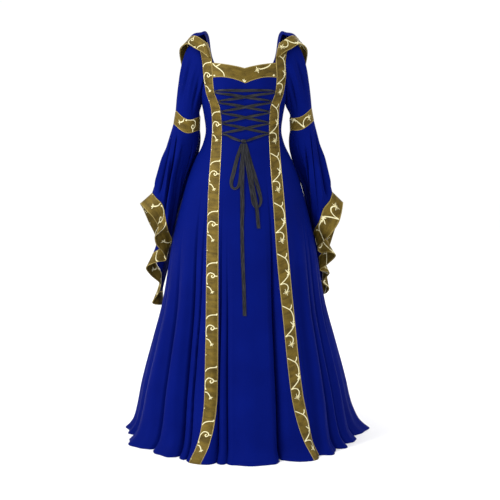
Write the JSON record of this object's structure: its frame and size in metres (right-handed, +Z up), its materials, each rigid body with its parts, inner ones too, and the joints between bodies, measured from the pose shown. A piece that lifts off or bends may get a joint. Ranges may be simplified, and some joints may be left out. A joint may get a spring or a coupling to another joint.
{
  "type": "medieval gown",
  "caption": "Full-length laced gown with bell sleeves, gold bands, sweetheart yoke and a hood lying on the shoulders, filled out as worn with no wearer",
  "frame": {"origin": "midway between the shoulders, at the height of the shoulder line where the wearer carries the gown; the hem meets the floor 1.36 m below", "axes": "+Z up, front faces -Y, +X is the wearer's left"},
  "size_m": [0.8683, 0.8634, 1.4009],
  "materials": {
    "blue_jersey": "soft royal blue jersey with a faint sheen",
    "gold_brocade": "old-gold brocade with cream embroidered vines",
    "black_satin": "black satin ribbon"
  },
  "bodies": {
    "root": {"front_panel": "blue_jersey", "neck_yoke": "gold_brocade", "front_band_left": "gold_brocade", "front_band_right": "gold_brocade", "side_front_left": "blue_jersey", "side_front_right": "blue_jersey", "back_left": "blue_jersey", "back_right": "blue_jersey", "sleeve_upper_left": "blue_jersey", "sleeve_upper_right": "blue_jersey", "armband_left": "gold_brocade", "armband_right": "gold_brocade", "sleeve_bell_left": "blue_jersey", "sleeve_bell_right": "blue_jersey", "cuff_band_left": "gold_brocade", "cuff_band_right": "gold_brocade", "hood_left": "blue_jersey", "hood_right": "blue_jersey", "hood_band_left": "gold_brocade", "hood_band_right": "gold_brocade", "lace_loop_left_1": "black_satin", "lace_loop_left_2": "black_satin", "lace_loop_left_3": "black_satin", "lace_loop_left_4": "black_satin", "lace_loop_left_5": "black_satin", "lace_loop_right_1": "black_satin", "lace_loop_right_2": "black_satin", "lace_loop_right_3": "black_satin", "lace_loop_right_4": "black_satin", "lace_loop_right_5": "black_satin", "lace": "black_satin", "lace_knot": "black_satin", "bow_loop_left": "black_satin", "bow_loop_right": "black_satin", "lace_tail_long": "black_satin", "lace_tail_short": "black_satin"}
  },
  "joints": []
}
